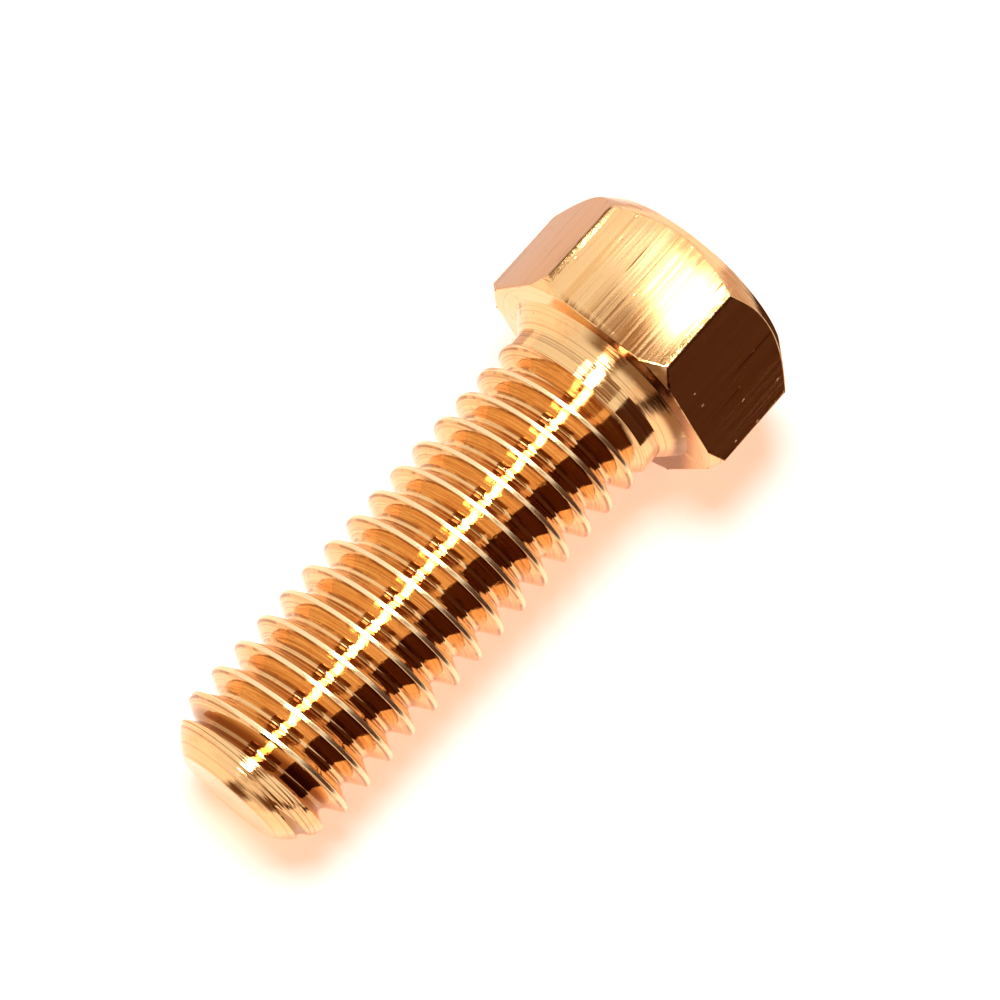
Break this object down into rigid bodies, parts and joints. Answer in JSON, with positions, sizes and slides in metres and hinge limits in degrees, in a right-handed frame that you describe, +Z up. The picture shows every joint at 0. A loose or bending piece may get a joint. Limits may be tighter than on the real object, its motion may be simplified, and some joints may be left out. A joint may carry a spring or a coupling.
{
  "type": "brass screw",
  "caption": "Small brass hexagon-head screw with a coarse right-hand thread, a plain neck and a rounded point, that clamps parts together.",
  "frame": {"origin": "centre of the screw's footprint on the bench that it lies on, at the bench's surface", "axes": "+X along the screw as seen from above, from the point towards the head; +Z up from the bench"},
  "size_m": [0.015, 0.0064, 0.0057],
  "materials": {
    "turned_brass": "satin"
  },
  "bodies": {
    "root": {"brass_screw": "turned_brass"}
  },
  "joints": []
}
